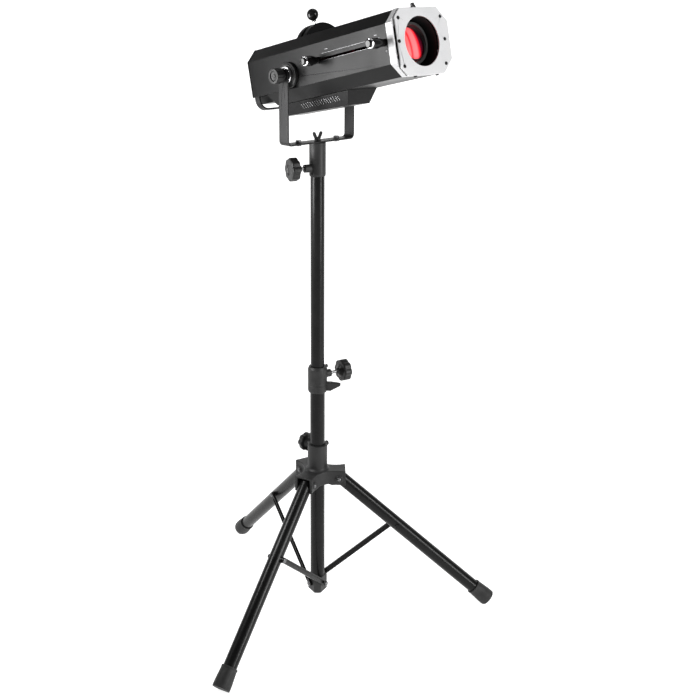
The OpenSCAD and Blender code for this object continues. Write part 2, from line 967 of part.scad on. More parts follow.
module fan_frame() {
    color("#1a1a1c")
        head_place()
            difference() {
                translate([-40, rear_y - 32, body_z - 40]) cube([80, 24, 80]);
                translate([0, rear_y, body_z]) rod_y(37, 30);
                translate([0, rear_y - 20, body_z])
                    difference() {
                        rod_y(37, 14);
                        translate([0, 1, 0]) rod_y(13, 20);
                        for (a = [0, 90])
                            rotate([0, a, 0]) translate([-50, -13, -2]) cube([100, 4, 4]);
                    }
                translate([0, rear_y - 19, body_z]) rod_y(15, 8);
            }
}

module fan_rotor() {
    color("#2a2a2c")
        head_place()
            translate([0, rear_y - 12, body_z]) {
                rod_y(14, 13);
                for (k = [0 : 6])
                    rotate([0, k * 360 / 7, 0])
                        translate([12, -11, -1])
                            rotate([35, 0, 0]) cube([23.5, 2, 12]);
            }
}

// ---------------------------------------------------------------- lamp head: driver box and rear

// Half width of the driver box at a height, its sides leaning in towards the bottom.
function box_half_at(z) =
    box_half - (body_low - z) * (box_half - box_half_low) / (body_low - box_front_z);

module box_solid(inset) {
    top = body_low + (inset > 0 ? 1 : 0);
    low = box_front_z - 5;
    intersection() {
        translate([-60, 0, 0])
            rotate([90, 0, 90])
                linear_extrude(120)
                    polygon([
                        [box_rear - inset, top], [box_rear - inset, box_rear_z + inset],
                        [box_front_low + inset, box_front_z + inset], [box_front + inset, top]
                    ]);
        translate([0, box_rear + 10, 0])
            rotate([90, 0, 0])
                linear_extrude(box_rear - box_front + 20)
                    polygon([
                        [-box_half_at(top) + inset, top], [box_half_at(top) - inset, top],
                        [box_half_at(low) - inset, low], [-box_half_at(low) + inset, low]
                    ]);
    }
}

module driver_box() {
    vent_z = body_low - 13;
    color("#1c1c1e")
        head_place()
            difference() {
                box_solid(0);
                difference() {
                    box_solid(box_wall);
                    translate([-100, notch_y, body_low - box_wall]) cube([200, 100, 10]);
                }
                for (s = [-1, 1], k = [0 : 16])
                    translate([s * box_half_at(vent_z), 24 - k * 8, vent_z])
                        rotate([-20, 0, 0]) cube([10, 2.6, 13], center = true);
            }
}

function box_floor_at(y) =
    box_rear_z + box_wall
    + (box_rear - y) * (box_front_z - box_rear_z) / (box_rear - box_front_low);

module driver_board() {
    board_z = -80.5;
    color("#2f5d3a")
        head_place() {
            translate([-30, -110, board_z]) cube([60, 170, 2]);
            for (k = [0 : 3])
                translate([-16, -90 + k * 40, board_z + 2 - eps]) cylinder(r = 8, h = 14);
            translate([4, -90, board_z + 2 - eps]) cube([22, 40, 15]);
            translate([4, -20, board_z + 2 - eps]) cube([20, 36, 12]);
            for (x = [-26, 26], y = [-100, 50])
                translate([x, y, box_floor_at(y) + 0.1])
                    cylinder(r = 3, h = board_z - box_floor_at(y));
        }
}

module rear_handle() {
    strap = 4;
    outer = half_w - sheet_t;
    low = -64.5;
    bend = 26;
    rise = 54.5;
    handle_y = rear_y - 2.3;
    color("#141416")
        head_place()
            translate([0, handle_y, low])
                rotate([90, 0, 0])
                    linear_extrude(17)
                        difference() {
                            yoke_outline(outer, bend, rise);
                            translate([0, strap]) yoke_outline(outer - strap, bend - strap, rise);
                        }
}

module power_inlet() {
    color("#0f0f10")
        head_place()
            translate([inlet_x, rear_y + 3, inlet_z]) {
                difference() {
                    translate([-16, 0, -12.5]) cube([32, 3, 25]);
                    translate([-12, -1, -8]) cube([24, 10, 16]);
                }
                difference() {
                    translate([-13.4, -20, -9.9]) cube([26.8, 21, 19.8]);
                    translate([-12, -17, -8]) cube([24, 30, 16]);
                }
                for (x = [-7, 0, 7])
                    translate([x - 1, -17.5, x == 0 ? 1 : -5]) cube([2, 14, 4]);
            }
}

module power_switch() {
    color("#0c0c0d")
        head_place()
            translate([49, rear_y + 1.5, body_z - 44.5]) {
                rotate([-6, 0, 0])
                    rotate([90, 0, 90])
                        translate([0, 0, -9.5])
                            linear_extrude(19) polygon([[3, 0], [1, 6], [-6, 5], [-6, -5], [1, -6]]);
                translate([-10.5, 0, 0]) rod_x(1.5, 21);
            }
}

// ---------------------------------------------------------------- nodes

lower_tube();
bottom_bracket();
brace_pins();
mid_collar();
lock_pin();
lock_finger();
hub();
hub_bushing();
leg_bolts();
hub_knob();
leg_tube(0);  // leg_tube_1
leg_tube(1);  // leg_tube_2
leg_tube(2);  // leg_tube_3
foot_cap(0);  // foot_cap_1
foot_cap(1);  // foot_cap_2
foot_cap(2);  // foot_cap_3
brace(0);  // brace_1
brace(1);  // brace_2
brace(2);  // brace_3
brace_rivet(0);  // brace_rivets_1
brace_rivet(1);  // brace_rivets_2
brace_rivet(2);  // brace_rivets_3
mast_tube();
mast_plug();
collar_knob();
top_socket();
socket_knob();
yoke();
yoke_bolts();
yoke_washers();
wing_nut();
tilt_knob(-1);  // tilt_knob_near
tilt_knob(1);  // tilt_knob_far
housing_upper();
housing_lower();
friction_discs();
rear_panel();
front_collar();
front_plate();
front_screws();
lens_barrel();
thumb_screw();
guide_rods();
gate_plate();
zoom_carriage();
zoom_lens();
zoom_knob();
focus_carriage();
focus_lens();
focus_knob();
wheel_cover();
colour_wheel();
led_engine();
fan_frame();
fan_rotor();
driver_box();
driver_board();
rear_handle();
power_inlet();
power_switch();
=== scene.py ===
import json
import math

import bmesh
import bpy
from mathutils import Matrix, Vector


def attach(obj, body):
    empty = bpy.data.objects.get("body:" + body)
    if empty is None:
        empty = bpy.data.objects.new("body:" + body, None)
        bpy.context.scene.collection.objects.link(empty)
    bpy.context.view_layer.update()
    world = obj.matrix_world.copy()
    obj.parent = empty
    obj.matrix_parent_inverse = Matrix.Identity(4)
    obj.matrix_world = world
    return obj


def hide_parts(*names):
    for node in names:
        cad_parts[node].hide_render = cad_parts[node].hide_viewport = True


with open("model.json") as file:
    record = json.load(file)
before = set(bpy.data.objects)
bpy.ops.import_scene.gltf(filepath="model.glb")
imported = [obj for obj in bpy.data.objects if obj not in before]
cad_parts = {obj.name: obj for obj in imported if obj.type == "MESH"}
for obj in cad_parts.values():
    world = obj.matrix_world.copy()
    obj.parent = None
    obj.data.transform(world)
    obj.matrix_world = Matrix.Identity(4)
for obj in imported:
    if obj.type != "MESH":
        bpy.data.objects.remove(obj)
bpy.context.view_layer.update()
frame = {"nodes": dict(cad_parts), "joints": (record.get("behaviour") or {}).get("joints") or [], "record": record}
nodes = frame["nodes"]
record = frame["record"]
joints = {j["name"]: j for j in frame["joints"]}
node_body = {n: b for b, members in record["behaviour"]["bodies"].items() for n in members}
node_slot = {s["node"]: s["material_slot"] for s in record["subparts"]}

MM = 0.001
LEGS = (1, 2, 3)
NEAR = -1   # the side of the lamp head that carries the zoom and focus knobs

# The lamp head's own frame: origin on the tilt axis, +X to the far side, -Y forward, +Z up.
forward = Vector(joints["zoom_slide"]["axis"])
head_up = Vector((1, 0, 0)).cross(-forward)
HEAD = Matrix.Translation(joints["tilt"]["pos_m"]) @ Matrix(
    ((1, 0, 0), -forward, head_up)).transposed().to_4x4()

# ---------------------------------------------------------------- camera
CAMERA_AZIMUTH = math.radians(-132.2)
CAMERA_DISTANCE = 2.677
CAMERA_HEIGHT = 1.648
CAMERA_PITCH = math.radians(16.23)
FOCAL_MM = 56.57
SENSOR_MM = 36
SHIFT_X, SHIFT_Y = 0.0464, -0.0726
away = Vector((math.cos(CAMERA_AZIMUTH), math.sin(CAMERA_AZIMUTH), 0))


def link(obj):
    bpy.context.scene.collection.objects.link(obj)
    return obj


def make_camera():
    camera = link(bpy.data.objects.new("camera", bpy.data.cameras.new("camera")))
    camera.location = away * CAMERA_DISTANCE + Vector((0, 0, CAMERA_HEIGHT))
    look = -away * math.cos(CAMERA_PITCH) - Vector((0, 0, math.sin(CAMERA_PITCH)))
    camera.rotation_mode = "QUATERNION"
    camera.rotation_quaternion = look.to_track_quat("-Z", "Y")
    camera.data.sensor_width = SENSOR_MM
    camera.data.lens = FOCAL_MM
    camera.data.shift_x = SHIFT_X
    camera.data.shift_y = SHIFT_Y
    bpy.context.scene.camera = camera


make_camera()

# ---------------------------------------------------------------- materials


class Shader:
    """A Principled material, with helpers for the procedural textures that feed it."""

    def __init__(self, name, **sockets):
        self.material = bpy.data.materials.new(name)
        self.material.use_nodes = True
        self.tree = self.material.node_tree
        self.bsdf = next(n for n in self.tree.nodes if n.type == "BSDF_PRINCIPLED")
        for socket, value in sockets.items():
            self.bsdf.inputs[socket.replace("_", " ")].default_value = value
        self.coords = self.add("ShaderNodeTexCoord").outputs["Object"]

    def add(self, kind):
        return self.tree.nodes.new(kind)

    def join(self, output, target):
        self.tree.links.new(output, target)

    def noise(self, scale, detail=3.0, stretch=(1, 1, 1)):
        """Noise with the given number of cells to a metre, stretched by axis."""
        mapping = self.add("ShaderNodeMapping")
        mapping.inputs["Scale"].default_value = stretch
        self.join(self.coords, mapping.inputs["Vector"])
        texture = self.add("ShaderNodeTexNoise")
        texture.inputs["Scale"].default_value = scale
        texture.inputs["Detail"].default_value = detail
        self.join(mapping.outputs["Vector"], texture.inputs["Vector"])
        return texture.outputs["Fac"]

    def specks(self, scale):
        texture = self.add("ShaderNodeTexVoronoi")
        texture.inputs["Scale"].default_value = scale
        self.join(self.coords, texture.inputs["Vector"])
        return texture.outputs["Distance"]

    def rings(self, scale, axis="Z", distortion=0.0):
        texture = self.add("ShaderNodeTexWave")
        texture.bands_direction = axis
        texture.inputs["Scale"].default_value = scale
        texture.inputs["Distortion"].default_value = distortion
        self.join(self.coords, texture.inputs["Vector"])
        return texture.outputs["Fac"]

    def colours(self, factor, stops):
        """Base colour from (position, colour) stops."""
        ramp = self.add("ShaderNodeValToRGB")
        points = ramp.color_ramp.elements
        while len(points) < len(stops):
            points.new(0.5)
        for point, (position, colour) in zip(points, stops):
            point.position = position
            point.color = (*colour, 1)
        self.join(factor, ramp.inputs["Fac"])
        self.join(ramp.outputs["Color"], self.bsdf.inputs["Base Color"])

    def roughness(self, factor, low, high):
        spread = self.add("ShaderNodeMapRange")
        spread.inputs["From Min"].default_value = 0.3
        spread.inputs["From Max"].default_value = 0.7
        spread.inputs["To Min"].default_value = low
        spread.inputs["To Max"].default_value = high
        self.join(factor, spread.inputs["Value"])
        self.join(spread.outputs["Result"], self.bsdf.inputs["Roughness"])

    def bump(self, height, depth, under=None):
        """Bump of the given depth in metres, over an earlier bump if there is one."""
        node = self.add("ShaderNodeBump")
        node.inputs["Distance"].default_value = depth
        node.inputs["Strength"].default_value = 1.0
        self.join(height, node.inputs["Height"])
        if under:
            self.join(under, node.inputs["Normal"])
        self.join(node.outputs["Normal"], self.bsdf.inputs["Normal"])
        return node.outputs["Normal"]


def grey(value, blue=1.0):
    return (value, value, value * blue)


def powder_coat(name, dark, light, rough, grain=900):
    """Baked powder paint: orange peel, faint cloudiness and patches that are a little more worn."""
    s = Shader(name, Specular_IOR_Level=0.16)
    s.colours(s.noise(14, 5), [(0.35, grey(dark, 1.03)), (0.65, grey(light, 1.03))])
    s.roughness(s.noise(9, 6), rough - 0.05, rough + 0.07)
    peel = s.bump(s.noise(grain, 2), 0.00005)
    s.bump(s.noise(grain * 3, 2), 0.000012, peel)
    return s.material


def tube_paint(name, dark, light):
    """Semi-gloss stove enamel on drawn tube, with faint marks along the tube."""
    s = Shader(name, Specular_IOR_Level=0.14, Coat_Weight=0.08, Coat_Roughness=0.12)
    s.colours(s.noise(22, 4), [(0.35, grey(dark)), (0.7, grey(light))])
    s.roughness(s.noise(60, 5, (3, 3, 0.6)), 0.24, 0.36)
    peel = s.bump(s.noise(420, 2), 0.00003)
    s.bump(s.noise(1500, 2, (1, 1, 0.2)), 0.000008, peel)
    return s.material


def silver_coat(name):
    """Fine metallic silver over a die casting."""
    s = Shader(name, Metallic=0.25, Specular_IOR_Level=0.4)
    s.colours(s.noise(2600, 2), [(0.38, grey(0.52, 1.01)), (0.62, grey(0.63, 1.01))])
    s.roughness(s.noise(30, 6), 0.40, 0.52)
    cast_grain = s.bump(s.noise(500, 3), 0.00003)
    s.bump(s.specks(2200), 0.00001, cast_grain)
    return s.material


def moulded(name, dark, light, rough, grain=1300, depth=0.00004):
    """Spark-eroded moulded plastic."""
    s = Shader(name, Specular_IOR_Level=0.28)
    s.colours(s.noise(40, 4), [(0.3, grey(dark)), (0.7, grey(light))])
    s.roughness(s.noise(25, 5), rough - 0.05, rough + 0.06)
    fine = s.bump(s.specks(grain), depth)
    s.bump(s.noise(160, 3), 0.00004, fine)
    return s.material


def worn_steel(name, dark, light, rough):
    s = Shader(name, Metallic=1.0)
    s.colours(s.noise(350, 4), [(0.35, grey(dark, 1.02)), (0.65, grey(light, 1.02))])
    s.roughness(s.noise(260, 4), rough - 0.08, rough + 0.1)
    s.bump(s.noise(2400, 2), 0.00001)
    return s.material


def bright_metal(name, value, rough):
    s = Shader(name, Metallic=1.0)
    s.colours(s.noise(120, 3), [(0.3, grey(value * 0.94, 1.01)), (0.7, grey(value, 1.01))])
    s.roughness(s.noise(500, 3), rough, rough + 0.06)
    s.bump(s.rings(900, "X", 1.5), 0.000002)
    return s.material


def machined(name):
    """Milled and extruded aluminium."""
    s = Shader(name, Metallic=1.0)
    s.colours(s.noise(90, 4), [(0.3, grey(0.50, 1.02)), (0.7, grey(0.62, 1.02))])
    s.roughness(s.noise(200, 3, (8, 1, 1)), 0.28, 0.42)
    s.bump(s.rings(1100, "Y", 2.0), 0.000006)
    return s.material


def rubber(name):
    s = Shader(name, Specular_IOR_Level=0.35)
    s.colours(s.noise(70, 5), [(0.3, grey(0.012)), (0.75, grey(0.026))])
    s.roughness(s.noise(30, 5), 0.52, 0.72)
    fine = s.bump(s.noise(1100, 3), 0.00006)
    s.bump(s.noise(90, 4), 0.00012, fine)
    return s.material


def coated_glass(name):
    """Coated optical glass: a faint violet cast on its reflections, dust in its roughness."""
    s = Shader(name, Transmission_Weight=1.0, IOR=1.5, Specular_Tint=(0.75, 0.6, 1.0, 1))
    s.colours(s.noise(30, 3), [(0.3, (0.93, 0.95, 0.98)), (0.7, (0.97, 0.98, 1.0))])
    s.roughness(s.noise(160, 5), 0.0, 0.03)
    return s.material


def painted_glow_lens(name, centre, radius, stops):
    """The focusing lens with painted light on it: emission stops run across it as a red glow standing in for light
    from behind it, with streaks of painted reflection, and its edge is painted darker as shade.
    """
    s = Shader(name, Roughness=0.25, Coat_Weight=1.0, Coat_Roughness=0.02)
    split = s.add("ShaderNodeSeparateXYZ")
    s.join(s.coords, split.inputs["Vector"])
    across = s.add("ShaderNodeMapRange")
    across.inputs["From Min"].default_value = -radius
    across.inputs["From Max"].default_value = radius
    s.join(split.outputs["X"], across.inputs["Value"])
    # Painted light: the stops are a painted red glow with streaks of painted reflection, and the same colour feeds
    # the emission.
    s.colours(across.outputs["Result"], stops)
    s.join(s.bsdf.inputs["Base Color"].links[0].from_socket, s.bsdf.inputs["Emission Color"])
    reach = s.add("ShaderNodeVectorMath")
    reach.operation = "DISTANCE"
    reach.inputs[1].default_value = centre
    s.join(s.coords, reach.inputs[0])
    # Painted shade: the glow's emission is turned down towards the lens's edge.
    painted_edge_shade = s.add("ShaderNodeMapRange")
    painted_edge_shade.inputs["From Min"].default_value = radius * 0.72
    painted_edge_shade.inputs["From Max"].default_value = radius
    painted_edge_shade.inputs["To Min"].default_value = 0.85
    painted_edge_shade.inputs["To Max"].default_value = 0.12
    s.join(reach.outputs["Value"], painted_edge_shade.inputs["Value"])
    s.join(painted_edge_shade.outputs["Result"], s.bsdf.inputs["Emission Strength"])
    return s.material


def circuit_board(name):
    s = Shader(name, Coat_Weight=0.4)
    s.colours(s.rings(260, "X", 6.0), [(0.45, (0.012, 0.09, 0.035)), (0.55, (0.02, 0.16, 0.06))])
    s.bump(s.rings(260, "X", 6.0), 0.00004)
    return s.material


SLOTS = {
    "housing_paint": powder_coat("housing_paint", 0.003, 0.005, 0.36),
    "stand_paint": tube_paint("stand_paint", 0.003, 0.006),
    "silver_paint": silver_coat("silver_paint"),
    "black_plastic": moulded("black_plastic", 0.016, 0.024, 0.46),
    "knob_plastic": moulded("knob_plastic", 0.010, 0.016, 0.38, 1700, 0.00002),
    "foot_rubber": rubber("foot_rubber"),
    "bolt_steel": worn_steel("bolt_steel", 0.10, 0.22, 0.36),
    "bright_steel": bright_metal("bright_steel", 0.74, 0.14),
    "bare_aluminium": machined("bare_aluminium"),
    "dark_steel": powder_coat("dark_steel", 0.012, 0.018, 0.40, 1100),
    "lens_glass": coated_glass("lens_glass"),
    "board": circuit_board("board"),
}

POLISHED = moulded("polished_black", 0.006, 0.010, 0.12, 1700, 0.000004)

# ---------------------------------------------------------------- mesh helpers


def facing(origin, axis, spin=0.0):
    """A frame at origin with its +Z along axis."""
    turn = Vector(axis).to_track_quat("Z", "Y").to_matrix().to_4x4()
    return Matrix.Translation(origin) @ turn @ Matrix.Rotation(spin, 4, "Z")


def on_head(x, y, z, axis, spin=0.0):
    """facing() for a place and direction given in millimetres in the lamp head's frame."""
    return HEAD @ facing(Vector((x, y, z)) * MM, axis, spin)


def finish_mesh(name, bm, slot, body, sharp=35, replaces=(), material=None):
    bmesh.ops.recalc_face_normals(bm, faces=bm.faces)
    mesh = bpy.data.meshes.new(name)
    bm.to_mesh(mesh)
    bm.free()
    return finish_piece(name, mesh, slot, body, sharp, replaces, material)


def finish_piece(name, mesh, slot, body, sharp=35, replaces=(), material=None):
    mesh.shade_smooth()
    mesh.set_sharp_from_angle(angle=math.radians(sharp))
    mesh.materials.clear()
    mesh.materials.append(material or SLOTS[slot])
    piece = link(bpy.data.objects.new(name, mesh))
    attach(piece, body)
    if replaces:
        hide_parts(*replaces)
    return piece


def rounded(corners, steps=4):
    """(r, z, fillet) corners of a profile, as points with an arc at each fillet."""
    points = []
    for k, (r, z, fillet) in enumerate(corners):
        here = Vector((r, z))
        if not fillet or k in (0, len(corners) - 1):
            points.append(here)
            continue
        before = (Vector(corners[k - 1][:2]) - here)
        after = (Vector(corners[k + 1][:2]) - here)
        cut = min(fillet, before.length * 0.49, after.length * 0.49)
        start, end = here + before.normalized() * cut, here + after.normalized() * cut
        for i in range(steps + 1):
            t = i / steps
            points.append((1 - t) ** 2 * start + 2 * t * (1 - t) * here + t ** 2 * end)
    return points


def lathe(bm, place, corners, segments=48, shape=None, steps=4):
    """Turns a profile in millimetres about the frame's Z. shape(angle, r, z) may change each radius."""
    rings = []
    for r, z in rounded(corners, steps):
        if r < 1e-6:
            rings.append([bm.verts.new(place @ Vector((0, 0, z * MM)))])
            continue
        ring = []
        for k in range(segments):
            angle = 2 * math.pi * k / segments
            radius = shape(angle, r, z) if shape else r
            local = Vector((radius * math.cos(angle), radius * math.sin(angle), z)) * MM
            ring.append(bm.verts.new(place @ local))
        rings.append(ring)
    for low, high in zip(rings, rings[1:]):
        bridge(bm, low, high)


def bridge(bm, low, high):
    count = max(len(low), len(high))
    for k in range(count):
        loop = [low[k % len(low)], low[(k + 1) % len(low)], high[(k + 1) % len(high)], high[k % len(high)]]
        face = list(dict.fromkeys(loop))
        if len(face) > 2:
            bm.faces.new(face)


def turned(name, place, corners, slot, body, replaces=(), material=None, **options):
    bm = bmesh.new()
    lathe(bm, place, corners, **options)
    return finish_mesh(name, bm, slot, body, replaces=replaces, material=material)


def pan_head(bm, place, radius, height, rings=9, segments=48):
    """A domed screw head with a cross recess."""
    slot_half, slot_reach, slot_depth = radius * 0.16, radius * 0.62, height * 0.55
    previous = [bm.verts.new(place @ Vector((0, 0, (height - slot_depth) * MM)))]
    for k in range(1, rings + 1):
        r = radius * k / rings
        ring = []
        for j in range(segments):
            angle = 2 * math.pi * j / segments
            x, y = r * math.cos(angle), r * math.sin(angle)
            z = height * math.sqrt(max(0.0, 1 - (r / radius) ** 4 * 0.75))
            if min(abs(x), abs(y)) < slot_half and r < slot_reach:
                z -= slot_depth
            ring.append(bm.verts.new(place @ (Vector((x, y, z)) * MM)))
        bridge(bm, previous, ring)
        previous = ring
    rim = [bm.verts.new(v.co - place.to_3x3() @ Vector((0, 0, height * MM))) for v in previous]
    bridge(bm, previous, rim)


def soften(name, width, segments=3, angle=28):
    """Rounds the edges of a CAD node that is shown as it is."""
    weld = nodes[name].modifiers.new("weld", "WELD")
    weld.merge_threshold = 0.00002
    bevel = nodes[name].modifiers.new("bevel", "BEVEL")
    bevel.width = width * MM
    bevel.segments = segments
    bevel.limit_method = "ANGLE"
    bevel.angle_limit = math.radians(angle)
    normals = nodes[name].modifiers.new("normals", "WEIGHTED_NORMAL")
    normals.keep_sharp = False


def cast(name, voxel, smooth, shape=None):
    """A moulded copy of a CAD node, its edges and corners rounded as a mould rounds them."""
    copy = link(bpy.data.objects.new(name + "_casting", nodes[name].data.copy()))
    remesh = copy.modifiers.new("remesh", "REMESH")
    remesh.mode = "VOXEL"
    remesh.voxel_size = voxel * MM
    relax = copy.modifiers.new("relax", "SMOOTH")
    relax.factor = 0.5
    relax.iterations = smooth
    graph = bpy.context.evaluated_depsgraph_get()
    mesh = bpy.data.meshes.new_from_object(copy.evaluated_get(graph))
    bpy.data.objects.remove(copy)
    if shape:
        for vertex in mesh.vertices:
            vertex.co = shape(vertex.co)
    finish_piece(name + "_cast", mesh, node_slot[name], node_body[name], 80, [name])


# ---------------------------------------------------------------- CAD nodes that stay

for name, node in nodes.items():
    node.data.materials.clear()
    node.data.materials.append(SLOTS[node_slot[name]])

for name in ("housing_upper", "housing_lower", "driver_box", "rear_panel"):
    soften(name, 1.0)
for name in ("front_collar", "front_plate", "wheel_cover"):
    soften(name, 0.8)
for name in ("yoke", "rear_handle"):
    soften(name, 0.6, 2)

for name in ("lower_tube", "mast_tube", "leg_tube_1", "leg_tube_2", "leg_tube_3"):
    soften(name, 0.4, 2, 60)
for i in LEGS:
    soften("brace_%d" % i, 0.5, 2)

# ---------------------------------------------------------------- pivots of the stand
HUB_R, HUB_Z = 57, 380
FOOT_REACH, FOOT_Z = 467, 13
STAY_AT, STAY_LOW, STAY_OUTER = 210, 65, 26.6
LEG_LENGTH = math.hypot(FOOT_REACH - HUB_R, HUB_Z - FOOT_Z)
STAY_TOP_R = HUB_R + STAY_AT * (FOOT_REACH - HUB_R) / LEG_LENGTH
STAY_TOP_Z = HUB_Z - STAY_AT * (HUB_Z - FOOT_Z) / LEG_LENGTH


def rivet(bm, place, shank_r, shank, radius=7, height=3.6):
    """A domed head on the frame's Z and a shank behind it."""
    lathe(bm, place, [
        (0, height, 0), (radius * 0.55, height * 0.92, 1), (radius * 0.9, height * 0.45, 1.2),
        (radius, 0, 0.3), (shank_r, 0, 0), (shank_r, -shank, 0.3), (0, -shank, 0)], segments=40)


def cross_place(i, radius, height, side):
    """Beside leg i's plane: a frame with +Z pointing away from the leg on the given side."""
    axis = Vector(joints["leg_fold_%d" % i]["axis"])
    out = axis.cross(Vector((0, 0, 1)))
    centre = (out * radius + Vector((0, 0, height))) * MM
    return facing(centre + axis * side * MM, axis * (1 if side > 0 else -1))


bolts = bmesh.new()
for i in LEGS:
    rivet(bolts, cross_place(i, HUB_R, HUB_Z, 25), 4, 50, 5.2, 3)
    rivet(bolts, cross_place(i, HUB_R, HUB_Z, -25), 4, 1, 5.2, 3)
finish_mesh("leg_bolt_set", bolts, "bolt_steel", "hub", replaces=["leg_bolts"])

pins = bmesh.new()
for i in LEGS:
    rivet(pins, cross_place(i, 0, STAY_LOW, STAY_OUTER + 0.5), 4, 7)
finish_mesh("stay_pin_set", pins, "bolt_steel", "stand", replaces=["brace_pins"])

for i in LEGS:
    bm = bmesh.new()
    rivet(bm, cross_place(i, STAY_TOP_R, STAY_TOP_Z, STAY_OUTER), 3, 6)
    finish_mesh("stay_rivet_%d" % i, bm, "bolt_steel", "stay_%d" % i, replaces=["brace_rivets_%d" % i])

# ---------------------------------------------------------------- moulded and cast parts
RIB_LOW, RIB_PITCH, RIB_COUNT, RIB_DEPTH = 627, 4.2, 6, 0.8


def ribbed(place):
    """Shallow grooves round the mid collar's sleeve, away from its bosses."""
    radius = math.hypot(place.x, place.y) / MM
    height = place.z / MM
    step = (height - RIB_LOW) / RIB_PITCH
    if not 24.2 < radius < 26.2 or not 0 < step < RIB_COUNT:
        return place
    groove = RIB_DEPTH * max(0.0, math.cos(2 * math.pi * step)) ** 3
    scale = 1 - groove / radius
    return Vector((place.x * scale, place.y * scale, place.z))


cast("hub", 1.3, 4)
cast("bottom_bracket", 1.0, 4)
cast("mid_collar", 0.8, 3, ribbed)
cast("lock_finger", 0.6, 6)
cast("top_socket", 0.9, 3)
cast("wing_nut", 0.5, 5)
for i in LEGS:
    cast("foot_cap_%d" % i, 0.9, 4)

# ---------------------------------------------------------------- clamp knobs of the stand
LOBES = 8


def star_grip(joint, start, stem, radius, thick, node):
    """A lobed hand knob on its screw. start is the screw tip's distance from the column's axis."""
    origin, axis = Vector(joints[joint]["pos_m"]), Vector(joints[joint]["axis"])
    tip = Vector((0, 0, origin.z)) + axis * start * MM
    place = facing(tip, axis)
    top = stem + thick

    def lobed(angle, r, z):
        if z < stem + 0.2 or r < radius * 0.6:
            return r
        swell = (0.5 + 0.5 * math.cos(LOBES * angle)) ** 0.6
        return r * (0.9 + 0.1 * swell)

    bm = bmesh.new()
    lathe(bm, place, [
        (0, stem - 10, 0), (7.6, stem - 10, 0.8), (8.4, stem - 6, 3), (radius * 0.58, stem, 4),
        (radius * 0.66, stem + 0.3, 0.5), (radius, stem + 0.6, 4), (radius, top, 4.4),
        (radius * 0.5, top, 1.6), (radius * 0.42, top - 2, 1.2), (0, top - 2.3, 0)],
        segments=160, shape=lobed, steps=7)
    finish_mesh(node + "_grip", bm, "knob_plastic", node_body[node], 60, [node])
    turned(node + "_screw", place, [(0, 0, 0), (3.9, 0, 0.5), (3.9, stem - 9.5, 0), (0, stem - 9.5, 0)],
           "bolt_steel", node_body[node], segments=32)


star_grip("hub_clamp_turn", 19.4, 27, 25, 18, "hub_knob")
star_grip("collar_clamp_turn", 18.1, 50, 29, 22, "collar_knob")
star_grip("socket_clamp_turn", 18.1, 36, 29, 22, "socket_knob")

# ---------------------------------------------------------------- yoke fittings
YOKE_INNER, YOKE_OUTER, BODY_HALF = 104.5, 108.5, 87.5
FLUTES = 12
tilt_origin = Vector((0, 0, HEAD.translation.z))
washers = bmesh.new()
for side in (-1, 1):
    axis = Vector((side, 0, 0))
    at_inner = facing(tilt_origin + axis * YOKE_INNER * MM, axis)
    lathe(washers, at_inner, [
        (5.5, -6, 0), (21, -6, 1.2), (21, 0, 1.2), (5.5, 0, 0), (5.5, -6, 0)], segments=64)
finish_mesh("yoke_washer_set", washers, "bright_steel", "turntable", replaces=["yoke_washers"])

discs = bmesh.new()
for side in (-1, 1):
    axis = Vector((side, 0, 0))
    at_body = facing(tilt_origin + axis * BODY_HALF * MM, axis)
    lathe(discs, at_body, [
        (5.05, 0, 0), (29.2, 0, 0.4), (30, 1.5, 0.5), (30, 8, 1.2), (26, 9.4, 0.8), (25, 10.5, 0.4),
        (8, 10.5, 0.8), (5.05, 10.5, 0), (5.05, 0, 0)], segments=80)
finish_mesh("friction_disc_set", discs, "black_plastic", "head", replaces=["friction_discs"])


def fluted(angle, r, z):
    if r < 15 or z < 9.5:
        return r
    return r - 0.8 * (0.5 + 0.5 * math.cos(FLUTES * angle)) ** 2.2


for side, end in ((-1, "near"), (1, "far")):
    axis = Vector((side, 0, 0))
    place = facing(tilt_origin + axis * (YOKE_OUTER + 0.4) * MM, axis)
    node = "tilt_knob_" + end
    turned(node + "_grip", place, [
        (5, 0, 0), (12, 0, 0.6), (12, 8, 0.8), (17.2, 8.6, 1), (18, 12, 1), (18, 30, 2.4), (11.5, 30, 1),
        (10.5, 27, 1), (5, 26.6, 0.5), (4.4, 28.2, 0.4), (0, 28.4, 0)],
        "knob_plastic", node_body[node], [node], segments=144, shape=fluted, steps=6)
    turned(node + "_screw", place, [(0, -29.4, 0), (4.9, -29.4, 0.6), (4.9, 6, 0), (0, 6, 0)],
           "bolt_steel", node_body[node], segments=40)
soften("yoke_bolts", 0.5, 2)

